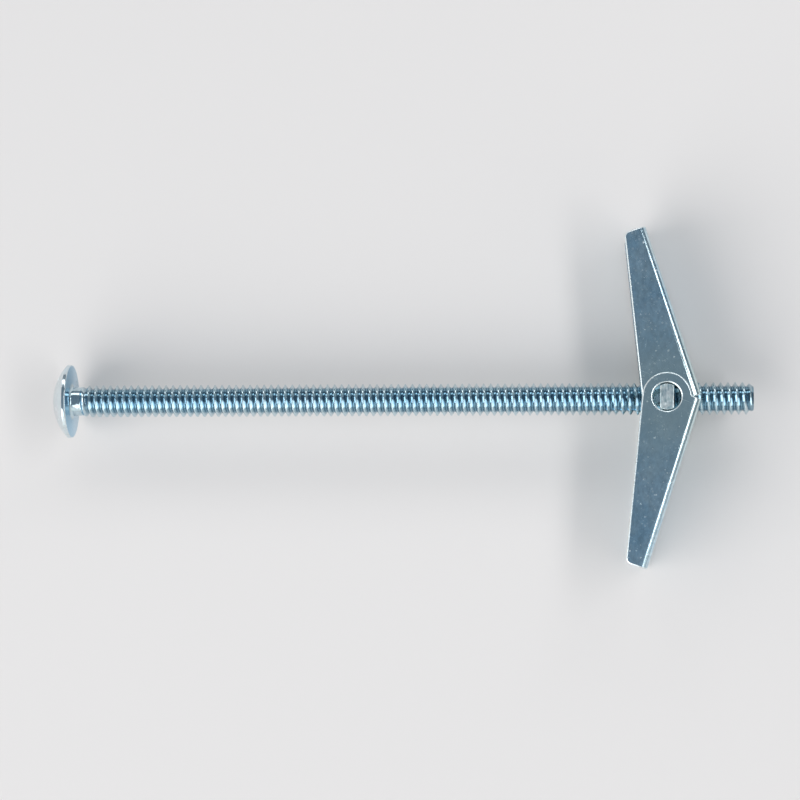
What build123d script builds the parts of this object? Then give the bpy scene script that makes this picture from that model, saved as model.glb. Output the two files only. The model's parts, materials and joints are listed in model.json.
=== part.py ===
from build123d import *
import os
from math import cos, radians, sin, sqrt, tan

# Spring toggle bolt: a long machine screw carrying a trunnion nut, two folded wings and a torsion spring.
#
# Frame, in millimetres: the origin is the centre of the screw head's bearing face.
# +X runs along the screw towards its tip, and +Z along the axis that the wings turn on.
# The wings are modelled open: the outer wing spreads towards -Y, and the inner wing towards +Y.

# ---- Screw ----
THREAD_R = 2.4            # crest radius of the number 10, 24 per inch thread
THREAD_PITCH = 25.4 / 24
SCREW_LENGTH = 101.6      # from the bearing face to the tip
NECK_STEP = 0.25          # how far the unthreaded neck lies below the thread's crests
NECK_LENGTH = 1.3
NECK_FILLET = 0.35
TIP_CHAMFER = 0.65        # how much the tip narrows, and over what length
TIP_LENGTH = 0.9
HEAD_R = 5.5
HEAD_RIM = 0.55           # height of the head's rim, below the dome
HEAD_HEIGHT = 2.75
RIM_ROUND = 0.22

# ---- Drive: a straight slot combined with a cross recess ----
SLOT_WIDTH = 1.2
SLOT_DEPTH = 1.15
CROSS_SPAN = 4.9
CROSS_WIDTH = 1.15
CROSS_FLOOR = 0.6         # metal left between the recess and the bearing face
CROSS_FLOOR_SPAN = 2.3
CROSS_FLOOR_WIDTH = 0.7
DRIVE_TURN = 30.0         # degrees about the screw axis

# ---- Trunnion nut ----
THREAD_CLEARANCE = 0.06   # radial gap between the nut's bore and the screw
NUT_THICKNESS = 2.0
NUT_WEB_GAP = 0.27        # between the nut's corners and the webs that swing round them
NUT_CORNER = 0.5
COLLAR_WALL = 0.64        # wall of the extruded collar, on the head's side of the plate
COLLAR_HEIGHT = 1.6
LUG_RECESS = 0.15         # how far a lug's end lies below the outer wing's side wall
THREADS_PAST_PIVOT = 12   # whole thread pitches from the pivot axis to the screw's tip

# ---- Torsion spring ----
WIRE_R = 0.3
TURN_GAP = 0.08           # between one turn of a coil and the next
COIL_NUT_GAP = 0.15       # between a coil and the nut's plate
COIL_LUG_GAP = 0.4        # between a coil and the lug inside it
COIL_EAR_GAP = 0.08       # between a coil and the inner wing's ear
LEG_SPLAY = 7.5           # degrees between a leg and the web that it presses on
LEG_WEB_GAP = 0.09        # between a leg and the web, at the leg's end
BAIL_BEND = 1.0           # radius of the bail's corners

# ---- Wings, both folded from sheet ----
SHEET = 0.8
BEND_INSIDE_R = 0.3       # inside radius of the fold between web and side wall
WING_GAP = 0.1            # between the outer wing's side wall and the inner wing's
EAR_HOLE_R = 2.07
LUG_CLEARANCE = 0.17      # radial gap between a lug and its ear hole
EAR_WALL = 1.53           # metal round the ear hole
EAR_WEB_GAP = 0.5         # between one wing's ear and the other wing's web
WING_TIP = 24.8           # from the pivot axis to the tip, along the web
WING_TAPER = 12.2         # degrees between the free edge and the web
TIP_CORNER = 0.9
HEEL_FILLET = 0.6
HEEL_GAP = 0.13           # from an open wing's heel to the plane where the two heels meet
NOTCH_SIDE_GAP = 0.6      # between the screw and the sides of the notch in the web
NOTCH_END_GAP = 2.5       # between the screw and the end of the notch, with the wing open
OPEN_SLOPE = 18.1         # degrees from square to the screw to the open web

# ---- Worked out from the sizes above ----
SLOPE = radians(OPEN_SLOPE)
NECK_R = THREAD_R - NECK_STEP
PIVOT_X = SCREW_LENGTH - THREADS_PAST_PIVOT * THREAD_PITCH

EAR_R = EAR_HOLE_R + EAR_WALL
WEB_INSIDE = EAR_R + EAR_WEB_GAP          # from the pivot axis to the web's two faces
WEB_OUTSIDE = WEB_INSIDE + SHEET
WING_HEEL = (WEB_INSIDE * sin(SLOPE) - HEEL_GAP) / cos(SLOPE)
NOTCH_HALF_WIDTH = THREAD_R + NOTCH_SIDE_GAP
NOTCH_END = (THREAD_R + NOTCH_END_GAP - WEB_INSIDE * sin(SLOPE)) / cos(SLOPE)

BORE_R = THREAD_R + THREAD_CLEARANCE
COLLAR_R = BORE_R + COLLAR_WALL
NUT_HALF_LENGTH = COLLAR_R                # along the pivot axis, between the two coils
NUT_HALF_WIDTH = sqrt((WEB_INSIDE - NUT_WEB_GAP) ** 2 - (NUT_THICKNESS / 2) ** 2)
LUG_R = EAR_HOLE_R - LUG_CLEARANCE

LEG_LEAVE = OPEN_SLOPE - LEG_SPLAY        # degrees from the screw axis to where a leg leaves its coil
COIL_R = LUG_R + COIL_LUG_GAP + WIRE_R
COIL_TURNS = 1 + 2 * LEG_LEAVE / 360
COIL_RISE = COIL_TURNS * (2 * WIRE_R + TURN_GAP)
COIL_START = NUT_HALF_LENGTH + COIL_NUT_GAP + WIRE_R
LEG_CONTACT = WEB_INSIDE - WIRE_R - LEG_WEB_GAP
LEG_LENGTH = (LEG_CONTACT - COIL_R * cos(radians(LEG_SPLAY))) / sin(radians(LEG_SPLAY))

INNER_HALF_WIDTH = COIL_START + COIL_RISE + WIRE_R + COIL_EAR_GAP + SHEET
OUTER_HALF_WIDTH = INNER_HALF_WIDTH + WING_GAP + SHEET


def machine_screw():
    """The screw: a low dome head with its drive recess, a short neck, and a plain cylinder for the thread."""
    neck_end = NECK_LENGTH + THREAD_R - NECK_R
    with BuildPart() as screw:
        with BuildSketch(Plane.XY):
            with BuildLine():
                rim_top = (-HEAD_RIM, HEAD_R)
                top = (-HEAD_HEIGHT, 0)
                dome_rise = HEAD_HEIGHT - HEAD_RIM
                dome_r = (HEAD_R**2 + dome_rise**2) / (2 * dome_rise)
                RadiusArc(top, rim_top, dome_r)
                Polyline(
                    rim_top,
                    (0, HEAD_R),
                    (0, NECK_R),
                    (NECK_LENGTH, NECK_R),
                    (neck_end, THREAD_R),
                    (SCREW_LENGTH - TIP_LENGTH, THREAD_R),
                    (SCREW_LENGTH, THREAD_R - TIP_CHAMFER),
                    (SCREW_LENGTH, 0),
                    top,
                )
            make_face()
            fillet(vertices().sort_by_distance((0, NECK_R))[0], NECK_FILLET)
            fillet(vertices().sort_by_distance((0, HEAD_R))[0], RIM_ROUND)
        revolve(axis=Axis.X)
    return screw.part - drive_recess()


def drive_recess():
    """The space that the driver goes into: a straight slot and two tapered blades crossed over it."""
    top = Plane(origin=(-HEAD_HEIGHT, 0, 0), x_dir=(0, 1, 0), z_dir=(1, 0, 0))
    floor = top.offset(HEAD_HEIGHT - CROSS_FLOOR)
    slot = top * Pos(0, 0, SLOT_DEPTH / 2) * Box(3 * HEAD_R, SLOT_WIDTH, SLOT_DEPTH)
    blades = []
    for turn in (0, 90):
        mouth = top * Rot(0, 0, turn) * Rectangle(CROSS_SPAN, CROSS_WIDTH)
        foot = floor * Rot(0, 0, turn) * Rectangle(CROSS_FLOOR_SPAN, CROSS_FLOOR_WIDTH)
        blades.append(loft([mouth.face(), foot.face()]))
    return Rot(DRIVE_TURN, 0, 0) * (slot + blades)


def trunnion_nut():
    """The stamped nut: a plate with a threaded collar, and a lug at each end that a pair of ears turns on."""
    lug_end = OUTER_HALF_WIDTH - LUG_RECESS
    plate = Box(NUT_THICKNESS, 2 * NUT_HALF_WIDTH, 2 * NUT_HALF_LENGTH)
    plate = fillet(plate.edges().filter_by(Axis.X), NUT_CORNER)
    lug_slab = Box(NUT_THICKNESS, 2 * LUG_R, 2 * lug_end)
    lugs = lug_slab & Cylinder(LUG_R, 2 * lug_end)
    collar_x = -NUT_THICKNESS / 2 - COLLAR_HEIGHT / 2
    collar = Pos(collar_x, 0, 0) * Rot(0, 90, 0) * Cylinder(COLLAR_R, COLLAR_HEIGHT)
    bore = Rot(0, 90, 0) * Cylinder(BORE_R, 4 * COLLAR_HEIGHT + NUT_THICKNESS)
    return Pos(PIVOT_X, 0, 0) * (plate + lugs + collar - bore)


def wing_outline():
    """A side wall seen along the pivot axis: x runs along the web to the tip, and y towards the web."""
    taper = radians(WING_TAPER)
    leave = (EAR_R * sin(taper), -EAR_R * cos(taper))
    tip = (WING_TIP, leave[1] + (WING_TIP - leave[0]) * tan(taper))
    heel = (-WING_HEEL, sqrt(EAR_R**2 - WING_HEEL**2))
    blade = Polyline(
        leave, tip, (WING_TIP, WEB_OUTSIDE), (-WING_HEEL, WEB_OUTSIDE), (-WING_HEEL, 0), close=True
    )
    outline = make_face(blade) + Circle(EAR_R)
    outline = fillet(outline.vertices().sort_by_distance(heel)[0], HEEL_FILLET)
    return fillet(outline.vertices().sort_by_distance(tip)[0], TIP_CORNER)


def channel_section(top, half_width, bend_r):
    """The area below a web of this height and between side walls this far apart, with its folds rounded."""
    height = top + EAR_R
    area = Pos(top - height / 2, 0) * Rectangle(height, 2 * half_width)
    return fillet(area.vertices().group_by(Axis.X)[-1], bend_r)


def wing(half_width):
    """One wing about its own pivot axis: a channel with a web, two tapering side walls, ears and a notch."""
    outside = channel_section(WEB_OUTSIDE, half_width, BEND_INSIDE_R + SHEET)
    inside = channel_section(WEB_INSIDE, half_width - SHEET, BEND_INSIDE_R)
    channel = extrude(Plane.YZ.offset(-EAR_R) * (outside - inside), EAR_R + WING_TIP)
    side = extrude(wing_outline(), half_width, both=True)
    notch_centre = NOTCH_END - NOTCH_HALF_WIDTH
    notch_length = notch_centre + 2 * WING_HEEL
    notch = Pos(notch_centre, 0) * Circle(NOTCH_HALF_WIDTH)
    notch += Pos(notch_centre - notch_length / 2, 0) * Rectangle(notch_length, 2 * NOTCH_HALF_WIDTH)
    along_web = Plane(origin=(0, 0, 0), x_dir=(1, 0, 0), z_dir=(0, 1, 0))
    hole = Cylinder(EAR_HOLE_R, 3 * half_width)
    return (channel & side) - hole - extrude(along_web * notch, 2 * WEB_OUTSIDE)


def outer_wing_place():
    """The open place of the outer wing, which spreads towards -Y."""
    return Plane(origin=(PIVOT_X, 0, 0), x_dir=(-sin(SLOPE), -cos(SLOPE), 0), z_dir=(0, 0, 1))


def inner_wing_place():
    """The open place of the inner wing, which spreads towards +Y."""
    return Plane(origin=(PIVOT_X, 0, 0), x_dir=(-sin(SLOPE), cos(SLOPE), 0), z_dir=(0, 0, -1))


def spring_half():
    """A coil and its free leg, on the +Z side and about the pivot axis, with the leg towards +Y."""
    coil_path = Helix(COIL_RISE / COIL_TURNS, COIL_RISE, COIL_R)
    coil_path = Pos(0, 0, COIL_START) * Rot(0, 0, -LEG_LEAVE) * coil_path
    section = Plane(origin=coil_path @ 0, z_dir=coil_path % 0) * Circle(WIRE_R)
    coil = sweep(section, path=coil_path, is_frenet=True)
    leg_root = Pos(0, 0, COIL_START + COIL_RISE) * Rot(0, 0, LEG_LEAVE) * Pos(COIL_R, 0, 0)
    along_leg = (Align.CENTER, Align.CENTER, Align.MIN)
    leg = leg_root * Rot(-90, 0, 0) * Cylinder(WIRE_R, LEG_LENGTH, align=along_leg)
    return coil + leg + leg_root * Sphere(WIRE_R)


def bail():
    """The bail: two legs towards -Y, joined across the outer wing's web."""
    leave = radians(LEG_LEAVE)
    root = Vector(COIL_R * cos(leave), -COIL_R * sin(leave), 0)
    end = root + Vector(-sin(leave), -cos(leave), 0) * LEG_LENGTH
    up = Vector(0, 0, COIL_START)
    path = FilletPolyline(root + up, end + up, end - up, root - up, radius=BAIL_BEND)
    section = Plane(origin=path @ 0, z_dir=path % 0) * Circle(WIRE_R)
    roots = Pos(root + up) * Sphere(WIRE_R) + Pos(root - up) * Sphere(WIRE_R)
    return sweep(section, path=path) + roots


def torsion_spring():
    """One length of wire: a coil round each lug, two free legs on the inner wing and a bail on the outer."""
    half = spring_half()
    return Pos(PIVOT_X, 0, 0) * (half + mirror(half, about=Plane.XY) + bail())


nodes = {
    "machine_screw": machine_screw(),
    "trunnion_nut": trunnion_nut(),
    "torsion_spring": torsion_spring(),
    "outer_wing": outer_wing_place() * wing(OUTER_HALF_WIDTH),
    "inner_wing": inner_wing_place() * wing(INNER_HALF_WIDTH),
}

os.makedirs("parts", exist_ok=True)
for name, shape in nodes.items():
    export_step(shape, f"parts/{name}.step")
    box = shape.bounding_box()
    print(f"{name}: {len(shape.solids())} solid, {shape.volume:.2f} mm3, {box.min} to {box.max}")
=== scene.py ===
# %% [markdown]
# # A spring toggle bolt
#
# The bolt holds things on a hollow wall. A long machine screw carries a small nut, and two folded steel
# wings turn on the nut's lugs. A spring inside the wings keeps them open. Everything is plated with zinc,
# which is what gives the steel its cold, slightly blue shine.
#
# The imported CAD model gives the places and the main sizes. Only the spring's coils differ from it, and the
# reason is given with them. This script builds what the CAD model leaves plain: the thread, the soft edges
# of cut and folded sheet, the wound wire, and the finish of the metal.

# %% Load the frame
import json
from math import asin, atan2, cos, degrees, pi, radians, sin, sqrt

import bmesh
import bpy
from mathutils import Matrix, Vector


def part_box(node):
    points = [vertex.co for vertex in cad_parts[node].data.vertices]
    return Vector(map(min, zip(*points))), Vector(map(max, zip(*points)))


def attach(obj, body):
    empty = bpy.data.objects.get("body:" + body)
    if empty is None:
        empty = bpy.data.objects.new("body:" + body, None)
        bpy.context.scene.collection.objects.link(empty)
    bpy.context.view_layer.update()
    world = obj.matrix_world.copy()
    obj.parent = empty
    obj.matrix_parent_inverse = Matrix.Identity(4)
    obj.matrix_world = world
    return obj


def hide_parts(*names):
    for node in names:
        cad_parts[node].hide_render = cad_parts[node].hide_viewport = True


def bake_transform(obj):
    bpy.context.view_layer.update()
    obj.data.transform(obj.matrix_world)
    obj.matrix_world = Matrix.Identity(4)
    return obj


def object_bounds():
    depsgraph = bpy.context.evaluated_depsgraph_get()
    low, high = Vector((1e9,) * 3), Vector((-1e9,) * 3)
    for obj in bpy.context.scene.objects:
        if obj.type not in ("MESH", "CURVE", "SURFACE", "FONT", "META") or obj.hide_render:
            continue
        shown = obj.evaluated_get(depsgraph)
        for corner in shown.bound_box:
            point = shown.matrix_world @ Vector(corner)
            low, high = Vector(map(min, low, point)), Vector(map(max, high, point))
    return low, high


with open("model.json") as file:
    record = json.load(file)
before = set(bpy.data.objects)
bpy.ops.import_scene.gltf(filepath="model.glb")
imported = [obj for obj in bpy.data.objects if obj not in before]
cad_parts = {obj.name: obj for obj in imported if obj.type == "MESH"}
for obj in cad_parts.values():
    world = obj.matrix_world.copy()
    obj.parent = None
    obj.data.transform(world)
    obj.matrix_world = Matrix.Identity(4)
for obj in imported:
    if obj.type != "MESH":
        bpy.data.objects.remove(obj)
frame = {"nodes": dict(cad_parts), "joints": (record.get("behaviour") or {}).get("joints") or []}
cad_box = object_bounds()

MM = 0.001
hinge = next(j for j in frame["joints"] if j["name"] == "outer_wing_fold")
PIVOT = Vector(hinge["pos_m"]) / MM
print("pivot axis in mm:", tuple(round(x, 2) for x in PIVOT))

# %% [markdown]
# ## Working in millimetres
#
# Small hardware is drawn in millimetres, but a Blender unit is a metre here. So each piece is built in
# millimetres as a bmesh, and shrunk once at the end, when it becomes an object. The object stays at the
# origin, and the piece's place is in its mesh.

# %% From a bmesh to a piece
def node_box(node):
    """The lowest and highest corners of a CAD node, in millimetres."""
    low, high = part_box(node)
    return low / MM, high / MM


def mesh_from(name, bm):
    """Turns a bmesh into a mesh, and frees it."""
    mesh = bpy.data.meshes.new(name)
    bm.to_mesh(mesh)
    bm.free()
    return mesh


def put_in_scene(name, data):
    """Makes an object of a mesh, a light or a camera, and links it to the scene."""
    thing = bpy.data.objects.new(name, data)
    bpy.context.scene.collection.objects.link(thing)
    return thing


def make_piece(name, bm, materials, stands_for):
    """Shrinks a bmesh to metres and makes it an object that stands for a CAD node."""
    bmesh.ops.scale(bm, vec=(MM, MM, MM), verts=bm.verts)
    open_edges = sum(1 for e in bm.edges if not e.is_manifold)
    mesh = mesh_from(name, bm)
    for material in materials:
        mesh.materials.append(material)
    piece = put_in_scene(name, mesh)
    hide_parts(stands_for)
    low, high = (Vector(c) for c in (piece.bound_box[0], piece.bound_box[6]))
    size = ", ".join(f"{x / MM:.2f}" for x in high - low)
    print(f"{name}: {len(mesh.polygons)} faces, {open_edges} open edges, {size} mm")
    return piece


# %% Helpers for bmeshes and outlines
ALIGNED = 0.9999
SHARP = 35
CREASE = 32
VERT = bmesh.types.BMVert
EDGE = bmesh.types.BMEdge
FACE = bmesh.types.BMFace


def of_kind(geom, kind):
    """The points, the edges or the faces out of a list of geometry."""
    return [g for g in geom if isinstance(g, kind)]


def everything(bm):
    """All points, edges and faces of a bmesh, in one list."""
    return bm.verts[:] + bm.edges[:] + bm.faces[:]


def shade(bm, limit, flat_ways=()):
    """Shades smooth, but keeps edges sharper than the limit crisp and faces across a flat way flat."""
    bm.normal_update()
    for face in bm.faces:
        face.smooth = all(abs(face.normal.dot(way)) < ALIGNED for way in flat_ways)
    for edge in bm.edges:
        edge.smooth = edge.is_manifold and edge.calc_face_angle(0) < radians(limit)


def arc(centre, radius, start, end, steps):
    """Points on an arc in the plane, from one angle to another, in degrees."""
    angles = [radians(start + (end - start) * i / steps) for i in range(steps + 1)]
    return [(centre[0] + radius * cos(a), centre[1] + radius * sin(a)) for a in angles]


# %% [markdown]
# ## The finish: zinc on steel
#
# Bright zinc plate is a mirror that has been handled. Under a soft light it shows cloudy patches where the
# film is thicker, bluish in one place and faintly straw-coloured in the next, and it carries fine grain
# from the steel, pin-prick speckle and short scratches from tumbling in a drum with other parts.
#
# Each of those effects is a node group, built once and used by every material with its own values.
# The groups only put out colours and masks. The shader itself stays in the material.

# %% A node group with named sockets
COLOUR = "NodeSocketColor"
FLOAT = "NodeSocketFloat"
VECTOR = "NodeSocketVector"


def new_group(name, inputs, output, kind):
    """An empty node group: its tree, its input node, and its one output socket."""
    group = bpy.data.node_groups.new(name, "ShaderNodeTree")
    for label, socket, value in inputs:
        made = group.interface.new_socket(label, in_out="INPUT", socket_type=socket)
        if value is not None:
            made.default_value = value
    group.interface.new_socket(output, in_out="OUTPUT", socket_type=kind)
    entry = group.nodes.new("NodeGroupInput")
    leave = group.nodes.new("NodeGroupOutput")
    return group, entry, leave.inputs[output]


def feed(tree, socket, source):
    """Feeds a socket from another socket, or sets its value."""
    if isinstance(source, bpy.types.NodeSocket):
        tree.links.new(source, socket)
    else:
        socket.default_value = source


def add(tree, kind, inputs=None, **properties):
    """Adds a node, sets its properties, and feeds its inputs."""
    node = tree.nodes.new(kind)
    for key, value in properties.items():
        setattr(node, key, value)
    for key, source in (inputs or {}).items():
        feed(tree, node.inputs[key], source)
    return node


def maths(tree, operation, *inputs, clamp=False):
    """A Math node's result."""
    node = add(tree, "ShaderNodeMath", dict(enumerate(inputs)), operation=operation, use_clamp=clamp)
    return node.outputs[0]


def vector_maths(tree, operation, *inputs):
    """A Vector Math node. It puts out a vector, or a value for a length or a dot product."""
    return add(tree, "ShaderNodeVectorMath", dict(enumerate(inputs)), operation=operation)


def noise(tree, place, scale, detail, **more):
    """A noise texture over a place."""
    return add(tree, "ShaderNodeTexNoise", {"Vector": place, "Scale": scale, "Detail": detail, **more})


def spread(tree, value, low, high, to_low=0.0, to_high=1.0):
    """Stretches the part of a value between two limits to a new range."""
    inputs = {"Value": value, "From Min": low, "From Max": high, "To Min": to_low, "To Max": to_high}
    return add(tree, "ShaderNodeMapRange", inputs).outputs[0]


def mix_colour(tree, share, under, over, blend="MIX"):
    """Lays one colour over another, by a share from 0 to 1."""
    node = add(tree, "ShaderNodeMix", data_type="RGBA", blend_type=blend)
    for index, source in ((0, share), (6, under), (7, over)):
        feed(tree, node.inputs[index], source)
    return node.outputs[2]


# %% Cloudy patches of colour
def build_cloudy_colour():
    """A base colour that drifts to a cool tint and, in smaller patches, to a warm one."""
    group, entry, out = new_group(
        "cloudy_colour",
        [("Place", VECTOR, None), ("Base", COLOUR, (0.7, 0.75, 0.8, 1)), ("Cool", COLOUR, (0.5, 0.7, 0.8, 1)),
         ("Warm", COLOUR, (0.8, 0.78, 0.6, 1)), ("Patch size", FLOAT, 4.0), ("Strength", FLOAT, 0.5)],
        "Colour", COLOUR,
    )
    per_mm = maths(group, "DIVIDE", 1.0, entry.outputs["Patch size"])
    colour = entry.outputs["Base"]
    for tint, shift, low, high in (("Cool", 0.0, 0.42, 0.66), ("Warm", 37.0, 0.52, 0.74)):
        place = vector_maths(group, "ADD", entry.outputs["Place"], (shift, shift, shift)).outputs[0]
        clouds = noise(group, place, per_mm, 3.0, Roughness=0.55).outputs["Fac"]
        share = maths(group, "MULTIPLY", spread(group, clouds, low, high), entry.outputs["Strength"])
        colour = mix_colour(group, share, colour, entry.outputs[tint])
    group.links.new(colour, out)
    return group


# %% Pin-prick flecks
def build_flecks():
    """A mask of small ragged flecks that crowd together in some places and leave others clean."""
    group, entry, out = new_group(
        "flecks", [("Place", VECTOR, None), ("Size", FLOAT, 0.2), ("Cover", FLOAT, 0.3)], "Mask", FLOAT)
    per_mm = maths(group, "DIVIDE", 0.33, entry.outputs["Size"])
    ragged = noise(group, entry.outputs["Place"], maths(group, "MULTIPLY", per_mm, 5.0), 1.0)
    wobble = vector_maths(group, "SCALE", ragged.outputs["Color"])
    feed(group, wobble.inputs["Scale"], maths(group, "MULTIPLY", entry.outputs["Size"], 1.1))
    place = vector_maths(group, "ADD", entry.outputs["Place"], wobble.outputs[0]).outputs[0]
    cells = add(group, "ShaderNodeTexVoronoi", {"Vector": place, "Scale": per_mm})
    dice = add(group, "ShaderNodeSeparateColor", {0: cells.outputs["Color"]})
    crowd = noise(group, entry.outputs["Place"], 0.35, 2.0)
    wanted = maths(group, "MULTIPLY", spread(group, crowd.outputs["Fac"], 0.35, 0.65, 0.3, 1.7),
                   entry.outputs["Cover"])
    chosen = maths(group, "LESS_THAN", dice.outputs[0], wanted)
    radius = spread(group, dice.outputs[1], 0.0, 1.0, 0.08, 0.42)
    inside = maths(group, "SUBTRACT", radius, cells.outputs["Distance"])
    fleck = maths(group, "MULTIPLY", inside, 8.0, clamp=True)
    strength = spread(group, dice.outputs[2], 0.0, 1.0, 0.25, 1.0)
    group.links.new(maths(group, "MULTIPLY", maths(group, "MULTIPLY", fleck, chosen), strength), out)
    return group


# %% Short scratches
def build_scratches():
    """A mask of short, thin scratches that lie in three directions."""
    group, entry, out = new_group(
        "scratches", [("Place", VECTOR, None), ("Length", FLOAT, 3.0), ("Width", FLOAT, 0.05)], "Mask", FLOAT)
    along = maths(group, "DIVIDE", 0.35, entry.outputs["Length"])
    across = maths(group, "DIVIDE", 0.35, entry.outputs["Width"])
    squeeze = add(group, "ShaderNodeCombineXYZ", {"X": along, "Y": across, "Z": along}).outputs[0]
    total = 0.0
    for turn in (24, 97, 151):
        turned = add(group, "ShaderNodeVectorRotate",
                     {"Vector": entry.outputs["Place"], "Angle": radians(turn), "Axis": (0.2, 0.1, 1.0)})
        stretched = vector_maths(group, "MULTIPLY", turned.outputs[0], squeeze).outputs[0]
        lines = noise(group, stretched, 1.0, 0.0).outputs["Fac"]
        total = maths(group, "MAXIMUM", total, spread(group, lines, 0.82, 0.94))
    group.links.new(total, out)
    return group


# %% Smudges
def build_smudges():
    """A roughness that changes softly from place to place, as where oil and fingers were."""
    group, entry, out = new_group(
        "smudges", [("Place", VECTOR, None), ("Roughness", FLOAT, 0.2), ("Change", FLOAT, 0.25)],
        "Roughness", FLOAT)
    wide = noise(group, entry.outputs["Place"], 0.28, 2.0)
    close = noise(group, entry.outputs["Place"], 1.6, 4.0)
    both = maths(group, "ADD", wide.outputs["Fac"], close.outputs["Fac"])
    swing = maths(group, "MULTIPLY", spread(group, both, 0.7, 1.3, -1.0, 1.0), entry.outputs["Change"])
    group.links.new(maths(group, "MULTIPLY_ADD", swing, entry.outputs["Roughness"],
                          entry.outputs["Roughness"]), out)
    return group


# %% [markdown]
# Plating grows as a mat of fine crystals, and the sheet under it was rubbed by rolls, so even a clean flat
# isn't one even tone: it is dappled, lighter and darker, at a scale of half a millimetre or so.

# %% The dapple of plated sheet
def build_dapple():
    """A brightness around 1 that changes in small, slightly drawn-out dabs."""
    group, entry, out = new_group(
        "dapple", [("Place", VECTOR, None), ("Size", FLOAT, 0.6), ("Change", FLOAT, 0.2)],
        "Brightness", FLOAT)
    drawn_out = vector_maths(group, "MULTIPLY", entry.outputs["Place"], (1.0, 0.55, 0.8)).outputs[0]
    per_mm = maths(group, "DIVIDE", 1.0, entry.outputs["Size"])
    dabs = noise(group, drawn_out, per_mm, 4.0, Roughness=0.68)
    swing = maths(group, "MULTIPLY", spread(group, dabs.outputs["Fac"], 0.32, 0.68, -1.0, 0.8),
                  entry.outputs["Change"])
    group.links.new(maths(group, "ADD", swing, 1.0), out)
    return group


# %% Build each group once
cloudy_colour = build_cloudy_colour()
dapple = build_dapple()
flecks = build_flecks()
scratches = build_scratches()
smudges = build_smudges()
print("node groups:", ", ".join(g.name for g in bpy.data.node_groups))


# %% [markdown]
# ## One recipe, several finishes
#
# The plated pieces differ in how rough they are, how blue, and how much they were scratched, so one
# function makes their materials. The metal's colour does the rest: light that bounces from wall to wall
# inside a channel is tinted again at each bounce, which is why the hollows turn teal.

# %% The plating material
def place_in_mm(tree):
    """The place on the piece, in millimetres."""
    where = add(tree, "ShaderNodeTexCoord").outputs["Object"]
    return vector_maths(tree, "MULTIPLY", where, (1 / MM, 1 / MM, 1 / MM)).outputs[0]


def place_group(tree, group, place, **values):
    """Puts a node group into a material, with its own values, and returns its output."""
    node = add(tree, "ShaderNodeGroup", {"Place": place}, node_tree=group)
    for label, value in values.items():
        node.inputs[label.replace("_", " ")].default_value = value
    return node.outputs[0]


PALE_FLECK = (0.92, 0.96, 0.97, 1)
SCRATCH_LENGTH = 1.8


def plated(name, base, cool, warm, roughness, patch=4.0, tint=0.5, cover=0.85, size=0.15, relief=0.006,
           dabs=0.08):
    """A zinc-plated steel surface. Lengths are in millimetres."""
    material = bpy.data.materials.new(name)
    material.use_nodes = True
    tree = material.node_tree
    shader = tree.nodes["Principled BSDF"]
    shader.inputs["Metallic"].default_value = 1.0
    place = place_in_mm(tree)

    colour = place_group(tree, cloudy_colour, place, Base=(*base, 1), Cool=(*cool, 1), Warm=(*warm, 1),
                         Patch_size=patch, Strength=tint)
    brightness = place_group(tree, dapple, place, Change=dabs)
    colour = vector_maths(tree, "SCALE", colour).outputs[0]
    feed(tree, colour.node.inputs["Scale"], brightness)
    pricks = place_group(tree, flecks, place, Size=size, Cover=cover)
    lines = place_group(tree, scratches, place, Length=SCRATCH_LENGTH)
    pale = mix_colour(tree, maths(tree, "MULTIPLY", pricks, 0.6), colour, PALE_FLECK)
    feed(tree, shader.inputs["Base Color"], pale)

    dull = place_group(tree, smudges, place, Roughness=roughness)
    marks = maths(tree, "MAXIMUM", pricks, lines)
    feed(tree, shader.inputs["Roughness"], maths(tree, "MULTIPLY_ADD", marks, 0.22, dull))

    grain = noise(tree, place, 4.0, 5.0, Roughness=0.65).outputs["Fac"]
    raised = maths(tree, "MULTIPLY_ADD", pricks, 0.6, grain)
    height = maths(tree, "MULTIPLY_ADD", lines, -0.7, raised)
    bump = add(tree, "ShaderNodeBump", {"Height": height, "Distance": relief * MM})
    feed(tree, shader.inputs["Normal"], bump.outputs["Normal"])
    return material


def tint_where(material, share, colour, blend="MIX"):
    """Lays a colour over a material's base colour where a share from 0 to 1 says so."""
    tree = material.node_tree
    base = tree.nodes["Principled BSDF"].inputs["Base Color"]
    feed(tree, base, mix_colour(tree, share, base.links[0].from_socket, (*colour, 1), blend))


def distance_from_axis(material, point, along):
    """How far a place on the piece is from an axis through a point, or from the point if there's no axis."""
    tree = material.node_tree
    away = vector_maths(tree, "SUBTRACT", place_in_mm(tree), tuple(point)).outputs[0]
    across = tuple(1 - abs(c) for c in along)
    sideways = vector_maths(tree, "MULTIPLY", away, across).outputs[0]
    return vector_maths(tree, "LENGTH", sideways).outputs["Value"]


# %% The sheet of the wings
sheet_zinc = plated("sheet_zinc", (0.62, 0.79, 0.88), (0.44, 0.67, 0.82), (0.76, 0.86, 0.86), 0.20,
                    tint=0.6, relief=0.010, dabs=0.18)
from_pivot = distance_from_axis(sheet_zinc, PIVOT, (0, 0, 1))
near_pivot = spread(sheet_zinc.node_tree, from_pivot, 4.0, 13.0, 0.75, 0.0)
tint_where(sheet_zinc, near_pivot, (0.72, 0.83, 0.80))
cut_edge = plated("cut_edge", (0.82, 0.89, 0.91), (0.74, 0.85, 0.90), (0.86, 0.88, 0.84), 0.26, tint=0.35,
                  relief=0.012)

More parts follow.
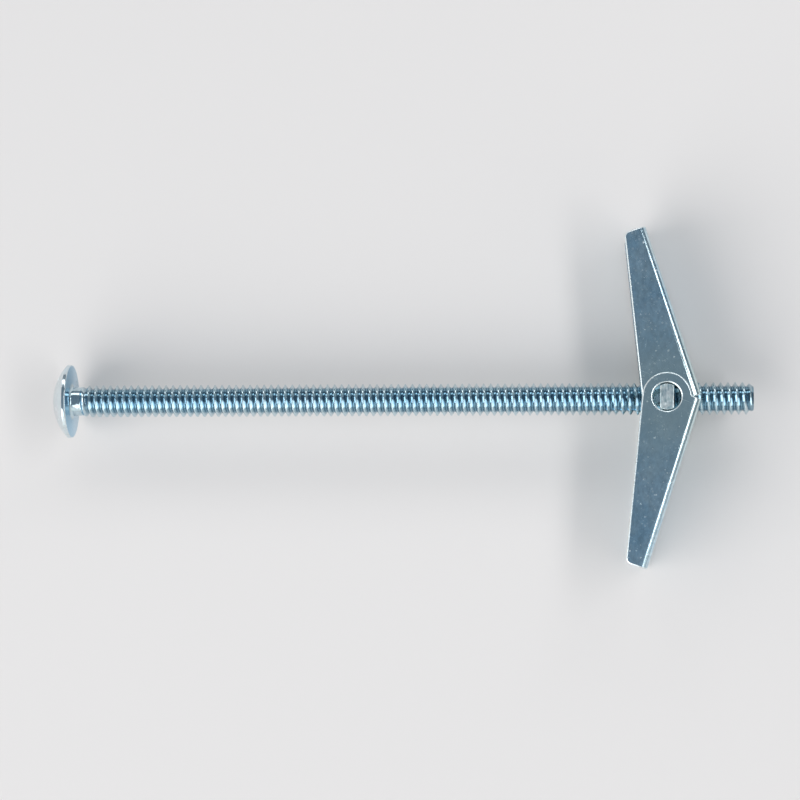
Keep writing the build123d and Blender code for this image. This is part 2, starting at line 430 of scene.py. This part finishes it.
# %% The screw's thread and head
thread_zinc = plated("thread_zinc", (0.62, 0.74, 0.79), (0.50, 0.67, 0.76), (0.72, 0.77, 0.79), 0.15,
                     patch=6.0, cover=0.1)
out_from_axis = distance_from_axis(thread_zinc, (0, 0, 0), (1, 0, 0))
# Painted shade: the thread's roots are darkened towards a deep teal, as if shaded by the crests.
painted_root_shade = spread(thread_zinc.node_tree, out_from_axis, 1.8, 2.2, 0.9, 0.0)
tint_where(thread_zinc, painted_root_shade, (0.20, 0.36, 0.46), "MULTIPLY")
# Painted shade: the flat under the head and its edge are tinted a darker, deeper blue.
painted_shade_under_head = spread(thread_zinc.node_tree, out_from_axis, 2.5, 2.8)
tint_where(thread_zinc, painted_shade_under_head, (0.32, 0.56, 0.74))
head_zinc = plated("head_zinc", (0.74, 0.82, 0.85), (0.62, 0.76, 0.84), (0.80, 0.80, 0.84), 0.18, patch=3.0)

# %% The nut, its torn lug ends, and the wire
nut_zinc = plated("nut_zinc", (0.62, 0.76, 0.82), (0.52, 0.70, 0.78), (0.74, 0.78, 0.72), 0.26)
sheared_lug = plated("sheared_lug", (0.90, 0.95, 0.94), (0.76, 0.88, 0.90), (0.92, 0.92, 0.86), 0.46,
                     patch=0.7, tint=0.8, cover=0.35, size=0.25, relief=0.03)
lug_tree = sheared_lug.node_tree
drawn = vector_maths(lug_tree, "MULTIPLY", place_in_mm(lug_tree), (5.0, 0.9, 5.0)).outputs[0]
streaks = noise(lug_tree, drawn, 1.0, 4.0).outputs["Fac"]
tint_where(sheared_lug, spread(lug_tree, streaks, 0.45, 0.62, 0.0, 0.75), (0.42, 0.56, 0.60), "MULTIPLY")
wire_zinc = plated("wire_zinc", (0.60, 0.72, 0.78), (0.50, 0.66, 0.74), (0.72, 0.74, 0.70), 0.20, patch=2.0)
print("materials:", ", ".join(m.name for m in bpy.data.materials))

# %% [markdown]
# ## The screw
#
# A rolled thread is one ridge wound round and round a blank, like a spiral stair. One turn of the stair is
# made by spinning the ridge's outline round the screw's axis while it climbs by one pitch. The turns are
# alike, so that one turn is copied along the shank, and the turns are merged where they meet.
#
# The ridge swells out of the neck over a turn and a half, as it does where the rolling dies let go, and the
# tip is cut to a cone. The neck and the head then grow from the open end of the thread, ring by ring.

# %% Sizes of the screw
THREAD_R = 2.4
ROOT_R = 1.80
PITCH = 25.4 / 24
TURN_STEPS = 60
NECK_R = 2.15
NECK_END = 1.3
RUNOUT = 1.5 * PITCH
TIP_R = 1.75
TIP_LENGTH = 0.9
HEAD_R = 5.5
HEAD_RIM = 0.55
HEAD_HEIGHT = 2.75
DOME_RISE = HEAD_HEIGHT - HEAD_RIM
DOME_R = (HEAD_R ** 2 + DOME_RISE ** 2) / (2 * DOME_RISE)
DOME_X = DOME_R - HEAD_HEIGHT
NECK_FILLET = 0.35
NECK_STEP = 0.1
RIM_ROUND = 0.22
POLE_R = 0.05
SCREW_END = node_box("machine_screw")[1].x

# The ridge's outline over one pitch: how far along, and how far up from root to crest.
RIDGE = [(0, 0), (0.09, 0.03), (0.14, 0.13), (0.41, 0.88), (0.45, 0.98), (0.50, 1.0),
         (0.55, 0.98), (0.59, 0.88), (0.86, 0.13), (0.91, 0.03), (1, 0)]
AXIS = Vector((1, 0, 0))


# %% One turn, then all of them
def thread_turns(bm):
    """Winds the thread from before the neck's end to past the tip."""
    points = [bm.verts.new((along * PITCH, 0, ROOT_R + up * (THREAD_R - ROOT_R))) for along, up in RIDGE]
    edges = [bm.edges.new(pair) for pair in zip(points, points[1:])]
    bmesh.ops.spin(bm, geom=points + edges, cent=(0, 0, 0), axis=AXIS, dvec=AXIS * PITCH / TURN_STEPS,
                   angle=2 * pi, steps=TURN_STEPS, use_merge=False, use_duplicate=False)
    one_turn = everything(bm)
    start = NECK_END - 2 * PITCH
    count = int((SCREW_END - start) / PITCH) + 2
    bmesh.ops.translate(bm, vec=AXIS * start, verts=bm.verts)
    for i in range(1, count):
        copy = bmesh.ops.duplicate(bm, geom=one_turn)["geom"]
        bmesh.ops.translate(bm, vec=AXIS * PITCH * i, verts=of_kind(copy, VERT))
    bmesh.ops.remove_doubles(bm, verts=bm.verts, dist=0.002)
    return count


def set_radius(vert, radius):
    """Moves a point straight in or out, to this distance from the screw's axis."""
    scale = radius / sqrt(vert.co.y ** 2 + vert.co.z ** 2)
    vert.co.y *= scale
    vert.co.z *= scale


def shape_thread_ends(bm):
    """Fades the ridge into the neck at one end, and cuts it to a cone at the other."""
    for vert in bm.verts:
        radius = sqrt(vert.co.y ** 2 + vert.co.z ** 2)
        grown = min(max((vert.co.x - NECK_END) / RUNOUT, 0), 1)
        grown = grown * grown * (3 - 2 * grown)
        radius = NECK_R + (radius - NECK_R) * grown
        into_tip = max(vert.co.x - (SCREW_END - TIP_LENGTH), 0) / TIP_LENGTH
        set_radius(vert, min(radius, THREAD_R - (THREAD_R - TIP_R) * into_tip))


def cut_square(bm, x, outward):
    """Cuts the thread square to its axis, and returns the edges round the open end."""
    cut = bmesh.ops.bisect_plane(bm, geom=everything(bm), dist=1e-5, plane_co=(x, 0, 0),
                                 plane_no=AXIS * outward, clear_outer=True)
    return of_kind(cut["geom_cut"], EDGE)


# %% Rings that grow from an open end
def grow_ring(bm, ring, x, radius):
    """Extrudes a loop of edges to a new ring at this place and radius, and returns the new loop."""
    grown = bmesh.ops.extrude_edge_only(bm, edges=ring)["geom"]
    for vert in of_kind(grown, VERT):
        vert.co.x = x
        set_radius(vert, radius)
    return of_kind(grown, EDGE)


def head_outline():
    """The head from the neck to the middle of its dome, as places along the axis and radii."""
    half_angle = degrees(asin(HEAD_R / DOME_R))
    fillet = arc((NECK_FILLET, NECK_R + NECK_FILLET), NECK_FILLET, 270, 180, 4)
    rim = arc((-RIM_ROUND, HEAD_R - RIM_ROUND), RIM_ROUND, 0, 90, 4)
    dome = arc((DOME_X, 0), DOME_R, 180 - half_angle, 180, 18)
    return [(NECK_END - NECK_STEP, NECK_R)] + fillet + rim + dome


# %% Wind the thread, cut it and grow the head
bm = bmesh.new()
turns = thread_turns(bm)
shape_thread_ends(bm)
tip = cut_square(bm, SCREW_END, 1)
bmesh.ops.holes_fill(bm, edges=tip, sides=0)
ring = cut_square(bm, NECK_END, -1)
for x, radius in head_outline():
    ring = grow_ring(bm, ring, x, max(radius, POLE_R))
bmesh.ops.holes_fill(bm, edges=ring, sides=0)
bmesh.ops.recalc_face_normals(bm, faces=bm.faces)
print(turns, "turns of thread,", len(bm.faces), "faces with the head")

# %% [markdown]
# ### The drive recess
#
# The head takes a flat blade or a cross driver. A recess has flat floors and straight walls that don't
# follow the dome's rings, so it is cut with the Boolean modifier: simple wedges made from cubes are taken
# away from the head. Its rim is bevelled afterwards, because a struck edge is never quite sharp.

# %% Cut the recess
SLOT_WIDTH = 1.2
SLOT_DEPTH = 1.15
CROSS_SPAN = 4.9
CROSS_WIDTH = 1.15
CROSS_DEPTH = 2.15
CROSS_FLOOR_SPAN = 2.3
CROSS_FLOOR_WIDTH = 0.7
DRIVE_TURN = 30
CUTTER_ABOVE = 1.0
RECESS_ROUND = 0.07
HEAD_FINISH_FROM = -0.02


def wedge(name, mouth, floor, depth, turn):
    """A cutter: a block that narrows from its mouth to its floor, turned about the screw's axis."""
    cutter = bmesh.new()
    bmesh.ops.create_cube(cutter, size=1)
    slope = CUTTER_ABOVE / depth
    top = [m + (m - f) * slope for m, f in zip(mouth, floor)]
    for vert in cutter.verts:
        at_floor = vert.co.x > 0
        width, span = floor if at_floor else top
        x = -HEAD_HEIGHT + (depth if at_floor else -CUTTER_ABOVE)
        vert.co = Vector((x, vert.co.y * span, vert.co.z * width))
    about_axis = Matrix.Rotation(radians(turn), 3, AXIS)
    bmesh.ops.rotate(cutter, verts=cutter.verts, cent=(0, 0, 0), matrix=about_axis)
    return put_in_scene(name, mesh_from(name, cutter))


def cut_away(bm, cutters):
    """Takes the cutters away from a bmesh with Boolean modifiers, and returns the result as a new bmesh."""
    body = put_in_scene("uncut", mesh_from("uncut", bm))
    for cutter in cutters:
        step = body.modifiers.new(cutter.name, "BOOLEAN")
        step.operation = "DIFFERENCE"
        step.solver = "EXACT"
        step.object = cutter
    bpy.context.view_layer.update()
    made = bmesh.new()
    made.from_object(body, bpy.context.evaluated_depsgraph_get())
    for thing in (body, *cutters):
        bpy.data.objects.remove(thing)
    return made


# %% Take the recess out of the head
slot_size = (SLOT_WIDTH, 3 * HEAD_R)
cross_size = (CROSS_WIDTH, CROSS_SPAN)
cross_floor = (CROSS_FLOOR_WIDTH, CROSS_FLOOR_SPAN)
bm = cut_away(bm, [
    wedge("slot", slot_size, slot_size, SLOT_DEPTH, DRIVE_TURN),
    wedge("cross", cross_size, cross_floor, CROSS_DEPTH, DRIVE_TURN),
    wedge("crossed", cross_size, cross_floor, CROSS_DEPTH, DRIVE_TURN + 90),
])
bmesh.ops.remove_doubles(bm, verts=bm.verts, dist=0.001)
recess_rim = [e for e in bm.edges if e.is_manifold and e.calc_face_angle(0) > radians(SHARP)
              and all(v.co.x < -HEAD_RIM - 0.1 for v in e.verts)]
bmesh.ops.bevel(bm, geom=recess_rim, offset=RECESS_ROUND, offset_type="OFFSET", segments=2, profile=0.5,
                affect="EDGES", clamp_overlap=True, material=-1)
for face in bm.faces:
    face.material_index = int(face.calc_center_median().x < HEAD_FINISH_FROM)
shade(bm, CREASE)
screw = make_piece("threaded_screw", bm, [thread_zinc, head_zinc], "machine_screw")
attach(screw, "screw")


# %% [markdown]
# A recess is punched into the head before it is plated. It is darkened: partly painted shade, and partly the
# thin, dull plating and the soot and oil that stay down there, which is what makes a drive readable at a
# glance.
# The dome is part of a ball, so anything nearer to the ball's centre than its radius must lie in the recess.

# %% Painted shade and dull plating in the recess
SLOT_REACH = sqrt(DOME_R ** 2 - (DOME_R - SLOT_DEPTH) ** 2)
UNDARKENED_DEPTH = 0.12
SHADE_AND_DULL_DEPTH = 0.5
SHADE_AND_DULL_SHARE = 0.85
FADE_OUT = 0.5
head_tree = head_zinc.node_tree
from_centre = distance_from_axis(head_zinc, (DOME_X, 0, 0), (0, 0, 0))
from_axis = distance_from_axis(head_zinc, (0, 0, 0), (1, 0, 0))
below_dome = spread(head_tree, from_centre, DOME_R - SHADE_AND_DULL_DEPTH, DOME_R - UNDARKENED_DEPTH, SHADE_AND_DULL_SHARE, 0.0)
off_the_rim = spread(head_tree, from_axis, SLOT_REACH, SLOT_REACH + FADE_OUT, 1.0, 0.0)
recess_shade_and_dull = maths(head_tree, "MULTIPLY", below_dome, off_the_rim)
# The recess's colour is darkened: painted shade, together with its dull, oily plating.
tint_where(head_zinc, recess_shade_and_dull, (0.34, 0.46, 0.54), "MULTIPLY")
print(f"the slot runs out {SLOT_REACH:.2f} mm from the axis")

# %% [markdown]
# ## A wing
#
# A wing is one piece of sheet, stamped out flat and folded into a channel. So it is made the same way here:
# a thin skin first, one side wall, the fold, and half of the web, mirrored, and then given the sheet's
# thickness. The stamping leaves edges that are slightly rolled over on one side, which a narrow bevel
# gives. The cut edges get their own, brighter finish, because that is where bare, bright metal catches
# the light.

# %% Sizes of the wings
SHEET = 0.8
BEND_R = 1.1
EAR_R = 3.6
EAR_HOLE_R = 2.07
WEB_OUTSIDE = 4.9
WEB_INSIDE = WEB_OUTSIDE - SHEET
WING_TIP = 24.8
WING_TAPER = radians(12.2)
TIP_CORNER = 0.9
HEEL_FILLET = 0.6
HEEL_GAP = 0.13
NOTCH_SIDE_GAP = 0.6
NOTCH_END_GAP = 2.5
SLOPE = radians(18.1)
WING_HEEL = (WEB_INSIDE * sin(SLOPE) - HEEL_GAP) / cos(SLOPE)
NOTCH_HALF_WIDTH = THREAD_R + NOTCH_SIDE_GAP
NOTCH_END = (THREAD_R + NOTCH_END_GAP - WEB_INSIDE * sin(SLOPE)) / cos(SLOPE)
FOLD_AT = WEB_OUTSIDE - BEND_R


# %% The outline of a side wall
def side_wall_outline():
    """The side wall from the heel's end of the fold, round the ear and the tip, to the fold's other end."""
    across = WING_HEEL + HEEL_FILLET
    lobe_to_heel = (-across, sqrt((EAR_R + HEEL_FILLET) ** 2 - across ** 2))
    down = degrees(atan2(-lobe_to_heel[1], -lobe_to_heel[0]))
    taper = degrees(WING_TAPER)
    leave = (EAR_R * sin(WING_TAPER), -EAR_R * cos(WING_TAPER))
    run = (WING_TIP - TIP_CORNER - leave[0] + TIP_CORNER * sin(WING_TAPER)) / cos(WING_TAPER)
    corner = (WING_TIP - TIP_CORNER, leave[1] + run * sin(WING_TAPER) + TIP_CORNER * cos(WING_TAPER))
    return (
        [(-WING_HEEL, FOLD_AT)]
        + arc(lobe_to_heel, HEEL_FILLET, 0, down, 6)
        + arc((0, 0), EAR_R, down + 180, 270 + taper, 30)[1:]
        + arc(corner, TIP_CORNER, taper - 90, 0, 8)
        + [(WING_TIP, FOLD_AT)]
    )


def edge_loop(bm, points, closed=True):
    """New points joined by edges, in order."""
    verts = [bm.verts.new(p) for p in points]
    pairs = list(zip(verts, verts[1:]))
    if closed:
        pairs.append((verts[-1], verts[0]))
    return verts, [bm.edges.new(pair) for pair in pairs]


def wing_skin(half_width):
    """The outer skin of a wing about its pivot axis, with no thickness."""
    bm = bmesh.new()
    outline, edges = edge_loop(bm, [(x, y, half_width) for x, y in side_wall_outline()])
    round_hole = arc((0, 0), EAR_HOLE_R, 0, 360, 48)[:-1]
    hole_edges = edge_loop(bm, [(x, y, half_width) for x, y in round_hole])[1]
    bmesh.ops.triangle_fill(bm, use_beauty=True, use_dissolve=False, edges=edges + hole_edges)
    fold = [e for e in edges if {v for v in e.verts} == {outline[0], outline[-1]}]
    turned = bmesh.ops.spin(bm, geom=fold + list(fold[0].verts), cent=(0, FOLD_AT, half_width - BEND_R),
                            axis=(1, 0, 0), angle=-pi / 2, steps=8, use_merge=False, use_duplicate=False)
    web_edge = of_kind(turned["geom_last"], EDGE)[0]
    heel, tip = sorted(web_edge.verts, key=lambda v: v.co.x)
    notch = arc((NOTCH_END - NOTCH_HALF_WIDTH, 0), NOTCH_HALF_WIDTH, 90, 0, 12)
    path = [(-WING_HEEL, NOTCH_HALF_WIDTH)] + notch + [(WING_TIP, 0)]
    verts, web = edge_loop(bm, [(x, WEB_OUTSIDE, z) for x, z in path], closed=False)
    web += [web_edge, bm.edges.new((heel, verts[0])), bm.edges.new((verts[-1], tip))]
    bmesh.ops.triangle_fill(bm, use_beauty=True, use_dissolve=False, edges=web)
    bmesh.ops.mirror(bm, geom=everything(bm), matrix=Matrix.Identity(4), merge_dist=0.001, axis="Z")
    bmesh.ops.remove_doubles(bm, verts=bm.verts, dist=0.001)
    bmesh.ops.recalc_face_normals(bm, faces=bm.faces)
    web_face = max(bm.faces, key=lambda f: f.calc_center_median().y)
    if web_face.normal.y < 0:
        bmesh.ops.reverse_faces(bm, faces=bm.faces)
    return bm


# %% From skin to sheet
ROLLED_OVER = 0.22
BURR_SIDE = 0.07
PROUD = 1.0001


def roll_over(bm, edges, offset, segments):
    """Rounds cut edges, and gives the new faces the finish of a cut edge."""
    bmesh.ops.bevel(bm, geom=edges, offset=offset, offset_type="OFFSET", segments=segments, profile=0.5,
                    affect="EDGES", material=1)


def press_flat(bm, half_width):
    """Turns back in what the rounding of a heel's corner pushed out past the side walls."""
    proud = [v for v in bm.verts if abs(v.co.z) > half_width * PROUD]
    for vert in proud:
        past = abs(vert.co.z) - half_width
        vert.co.z -= 2 * past * (1 if vert.co.z > 0 else -1)
    return len(proud)


def thicken(bm, half_width):
    """Gives the skin its thickness, and rounds its cut edges: widely outside, and just a touch inside."""
    bmesh.ops.dissolve_limit(bm, angle_limit=radians(1), verts=bm.verts, edges=bm.edges)
    rim = {e for e in bm.edges if e.is_boundary}
    made = bmesh.ops.solidify(bm, geom=bm.faces[:], thickness=SHEET)["geom"]
    for face in of_kind(made, FACE):
        face.material_index = int(any(e in rim for e in face.edges))
    bmesh.ops.recalc_face_normals(bm, faces=bm.faces)
    inner_rim = [e for e in bm.edges if e not in rim and e.is_manifold and e.calc_face_angle(0) > radians(40)]
    inner_rim = [e for e in inner_rim if len({f.material_index for f in e.link_faces}) == 2]
    roll_over(bm, list(rim), ROLLED_OVER, 3)
    roll_over(bm, [e for e in inner_rim if e.is_valid], BURR_SIDE, 2)
    print("  points pressed back in at the heel:", press_flat(bm, half_width))
    return len(rim)


# %% Put the wings in their open places
def wing_place(side):
    """The open place of a wing: -1 spreads towards -Y and 1 towards +Y."""
    along = Vector((-sin(SLOPE), side * cos(SLOPE), 0))
    out = Vector((cos(SLOPE), side * sin(SLOPE), 0))
    place = Matrix((along, out, along.cross(out))).transposed().to_4x4()
    place.translation = PIVOT
    return place


def make_wing(name, node, body, side):
    """One wing, as wide as its CAD node, in its open place."""
    low, high = node_box(node)
    bm = wing_skin(high.z)
    cut = thicken(bm, high.z)
    place = wing_place(side)
    bmesh.ops.transform(bm, matrix=place, verts=bm.verts)
    shade(bm, CREASE, flat_ways=[place.col[1].xyz, place.col[2].xyz])
    piece = make_piece(name, bm, [sheet_zinc, cut_edge], node)
    print(f"  {cut} cut edges rolled over; CAD size {tuple(round(x, 2) for x in high - low)}")
    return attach(piece, body)


make_wing("folded_outer_wing", "outer_wing", "wing_outer", -1)
make_wing("folded_inner_wing", "inner_wing", "wing_inner", 1)

# %% [markdown]
# ## The nut
#
# The nut is a thick stamped plate with a threaded collar pushed up out of it and a lug at each end. Its CAD
# shape is right, so a copy of that mesh is used. The copy is merged first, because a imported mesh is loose
# triangles, and then its outer corners are rounded. The lugs' ends were sheared off, which leaves a torn,
# bright face, so they get a coarser finish of their own.

# %% Round the nut's corners
NUT_ROUND = 0.1
TORN_DEPTH = 0.12


def make_nut():
    """The nut from a merged copy of its CAD mesh, with rounded corners and torn lug ends."""
    bm = bmesh.new()
    bm.from_mesh(frame["nodes"]["trunnion_nut"].data)
    bmesh.ops.scale(bm, vec=(1 / MM, 1 / MM, 1 / MM), verts=bm.verts)
    bmesh.ops.remove_doubles(bm, verts=bm.verts, dist=0.002)
    bmesh.ops.dissolve_limit(bm, angle_limit=radians(0.5), verts=bm.verts, edges=bm.edges)
    convex = [e for e in bm.edges if e.is_manifold and e.is_convex]
    corners = [e for e in convex if e.calc_face_angle(0) > radians(SHARP)]
    bmesh.ops.bevel(bm, geom=corners, offset=NUT_ROUND, offset_type="OFFSET", segments=2, profile=0.5,
                    affect="EDGES", clamp_overlap=True, material=-1)
    lug_end = max(v.co.z for v in bm.verts)
    for face in bm.faces:
        face.material_index = int(abs(face.calc_center_median().z) > lug_end - TORN_DEPTH)
    shade(bm, CREASE, flat_ways=[Vector((1, 0, 0)), Vector((0, 1, 0)), Vector((0, 0, 1))])
    piece = make_piece("stamped_nut", bm, [nut_zinc, sheared_lug], "trunnion_nut")
    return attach(piece, "nut")


make_nut()

# %% [markdown]
# ## The spring
#
# The spring is one wire: a coil round each lug, two free ends that press on the inner wing, and a bail that
# presses on the outer wing. It has to wind up as the wings fold. It is made in two pieces, cut in the middle
# of each coil: one holds the free legs, and the other the bail.
#
# Winding up puts more turns into the same height. With both wings folded, each coil is nearly one and a
# half turns, so it rises far enough, between the nut's plate and the wing's ear, that even then the turns
# lie more than a wire's thickness apart.

# %% Sizes of the spring
WIRE_R = 0.3
COIL_R = 2.6
COIL_START = 3.42
COIL_RISE = 0.91
LEG_SPLAY = 7.5
LEG_WEB_GAP = 0.09
BAIL_BEND = 1.0
LEG_LEAVE = degrees(SLOPE) - LEG_SPLAY
LEG_CONTACT = WEB_INSIDE - WIRE_R - LEG_WEB_GAP
LEG_LENGTH = (LEG_CONTACT - COIL_R * cos(radians(LEG_SPLAY))) / sin(radians(LEG_SPLAY))
COIL_DEGREES = 360 + 2 * LEG_LEAVE
WIRE_SIDES = 14
WIRE_CREASE = 50
STEPS_PER_HALF = 30
LEG_STEPS = 6
BEND_STEPS = 8
BAIL_STEPS = 4


# %% Half a coil, from its cut
def half_coil(bm, side):
    """Spins a wire's section from the middle of the coil to a leg: -1 towards -Y and 1 towards +Y."""
    middle = COIL_START + COIL_RISE / 2
    start = bmesh.ops.create_circle(bm, cap_ends=True, segments=WIRE_SIDES, radius=WIRE_R,
                                    matrix=Matrix.Rotation(pi / 2, 4, "X"))["verts"]
    bmesh.ops.translate(bm, vec=(-COIL_R, 0, middle), verts=start)
    loop = [e for e in bm.edges if all(v in start for v in e.verts)]
    turned = bmesh.ops.spin(bm, geom=start + loop, cent=(0, 0, 0), axis=(0, 0, 1),
                            dvec=(0, 0, side * COIL_RISE / 2 / STEPS_PER_HALF),
                            angle=side * radians(COIL_DEGREES / 2), steps=STEPS_PER_HALF,
                            use_merge=False, use_duplicate=False)
    return turned["geom_last"]


def extrude_along(bm, geom, step, count):
    """Extrudes an open end of wire by equal steps, and returns the new end."""
    for _ in range(count):
        geom = bmesh.ops.extrude_edge_only(bm, edges=of_kind(geom, EDGE))["geom"]
        bmesh.ops.translate(bm, vec=step, verts=of_kind(geom, VERT))
    return [g for g in geom if not isinstance(g, FACE)]


def leg_direction(side):
    """The way that a leg runs out from its coil."""
    leave = radians(LEG_LEAVE)
    return Vector((-sin(leave), side * cos(leave), 0))


def spring_side(side):
    """The wire on one wing, +Z half only: half a coil and its leg, and the bail on the outer wing."""
    bm = bmesh.new()
    end = half_coil(bm, side)
    way = leg_direction(side)
    if side > 0:
        end = extrude_along(bm, end, way * LEG_LENGTH / LEG_STEPS, LEG_STEPS)
        bmesh.ops.holes_fill(bm, edges=of_kind(end, EDGE), sides=0)
    else:
        end = extrude_along(bm, end, way * (LEG_LENGTH - BAIL_BEND) / LEG_STEPS, LEG_STEPS)
        centre = sum((v.co for v in of_kind(end, VERT)), Vector()) / WIRE_SIDES
        corner = centre - Vector((0, 0, BAIL_BEND))
        end = bmesh.ops.spin(bm, geom=end, cent=corner, axis=way.cross(Vector((0, 0, 1))), angle=-pi / 2,
                             steps=BEND_STEPS, use_merge=False, use_duplicate=False)["geom_last"]
        end_z = sum(v.co.z for v in of_kind(end, VERT)) / WIRE_SIDES
        extrude_along(bm, end, Vector((0, 0, -end_z / BAIL_STEPS)), BAIL_STEPS)
    bmesh.ops.mirror(bm, geom=everything(bm), matrix=Matrix.Identity(4), merge_dist=0.002, axis="Z")
    bmesh.ops.recalc_face_normals(bm, faces=bm.faces)
    bmesh.ops.translate(bm, vec=PIVOT, verts=bm.verts)
    shade(bm, WIRE_CREASE)
    return bm


def make_spring_piece(name, side):
    """One side of the spring, as a piece of its own."""
    piece = make_piece(name, spring_side(side), [wire_zinc], "torsion_spring")
    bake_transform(piece)
    return piece


make_spring_piece("spring_bail", -1)
make_spring_piece("spring_free_legs", 1)

# %% [markdown]
# ## The studio
#
# A bright metal has no look of its own: it shows what is round it. The floor is pale paper. Above the
# camera the room is a quiet blue-grey, which is what the flat walls mirror, and softboxes at the sides and
# behind put the bright lines on every fold, cut edge and thread.

# %% The floor
FLOOR_HALF = 3
PAPER = (0.84, 0.80, 0.78, 1)


def studio_floor():
    """A wide pale sheet under the part."""
    bm = bmesh.new()
    bmesh.ops.create_grid(bm, x_segments=1, y_segments=1, size=FLOOR_HALF)
    bmesh.ops.translate(bm, vec=(0, 0, cad_box[0].z), verts=bm.verts)
    mesh = mesh_from("studio_floor", bm)
    paper = bpy.data.materials.new("paper")
    paper.use_nodes = True
    shader = paper.node_tree.nodes["Principled BSDF"]
    shader.inputs["Base Color"].default_value = PAPER
    shader.inputs["Roughness"].default_value = 0.9
    mesh.materials.append(paper)
    floor = put_in_scene("studio_floor", mesh)
    return floor


floor = studio_floor()
print("the floor lies at", round(cad_box[0].z / MM, 2), "mm")


# %% The room and the softboxes
ROOM_BAND = ((0.0, (0.70, 0.70, 0.69)), (0.22, (1.05, 1.05, 1.03)), (0.52, (1.05, 1.05, 1.03)),
             (0.72, (0.22, 0.27, 0.32)), (0.95, (0.18, 0.235, 0.29)))
BRIGHT_SIDE = (-0.62, -0.72, 0.30)
DARK_SIDE = (0.08, 0.13, 0.17, 1)


def softbox(name, azimuth, elevation, distance, size, power):
    """A rectangular area light that looks at the middle of the part."""
    middle = (cad_box[0] + cad_box[1]) / 2
    a, e = radians(azimuth), radians(elevation)
    away = Vector((sin(a) * cos(e), -cos(a) * cos(e), sin(e)))
    light = bpy.data.lights.new(name, "AREA")
    light.shape = "RECTANGLE"
    light.size, light.size_y = size
    light.energy = power
    lamp = put_in_scene(name, light)
    lamp.location = middle + away * distance
    lamp.rotation_euler = (-away).to_track_quat("-Z", "Y").to_euler()


def room():
    """The room's own light: blue-grey overhead, pale low down, and nearly dark on one side."""
    world = bpy.data.worlds.new("room")
    world.use_nodes = True
    tree = world.node_tree
    way = add(tree, "ShaderNodeTexCoord").outputs["Generated"]
    height = add(tree, "ShaderNodeSeparateXYZ", {0: way}).outputs["Z"]
    band = add(tree, "ShaderNodeValToRGB", {0: height})
    for place, colour in ROOM_BAND:
        stop = band.color_ramp.elements.new(place)
        stop.color = (*colour, 1)
    band.color_ramp.elements.remove(band.color_ramp.elements[-1])
    facing = vector_maths(tree, "DOT_PRODUCT", way, BRIGHT_SIDE).outputs["Value"]
    darker = spread(tree, facing, -0.50, 0.30, 0.92, 0.0)
    light = mix_colour(tree, darker, band.outputs[0], DARK_SIDE)
    feed(tree, tree.nodes["Background"].inputs[0], light)
    bpy.context.scene.world = world
    bpy.context.scene.view_settings.view_transform = "Standard"


room()
softbox("key", -50, 38, 0.7, (0.75, 0.60), 3.0)
softbox("fill", 92, 50, 0.6, (0.60, 0.12), 1.0)
softbox("back", 170, 30, 0.6, (0.7, 0.15), 0.8)
print("lights:", ", ".join(light.name for light in bpy.data.lights))

# %% [markdown]
# ## The camera
#
# The bolt lies on its side, and the camera looks almost straight down on the wings' side walls, with the
# head to the left and the wings' backs to the right. It leans a few degrees towards the tip, so that the
# folds and a strip of each web show.

# %% Camera
VIEW_LENGTH = 0.119
LENS = 120
LEAN_TO_TIP = 5
LEAN_TO_OUTER_WING = 3
camera_data = bpy.data.cameras.new("camera")
camera_data.lens = LENS
camera = put_in_scene("camera", camera_data)
aim = Vector((sum(c.x for c in cad_box) / 2, sum(c.y for c in cad_box) / 2, 0))
to_tip = Matrix.Rotation(radians(LEAN_TO_TIP), 3, "Y")
lean = to_tip @ Matrix.Rotation(radians(LEAN_TO_OUTER_WING), 3, "X")
camera.location = aim + lean @ Vector((0, 0, VIEW_LENGTH * LENS / camera_data.sensor_width))
camera.rotation_euler = lean.to_euler()
bpy.context.scene.camera = camera
camera_data.clip_start = 0.01
print("camera at", tuple(round(x, 3) for x in camera.location))
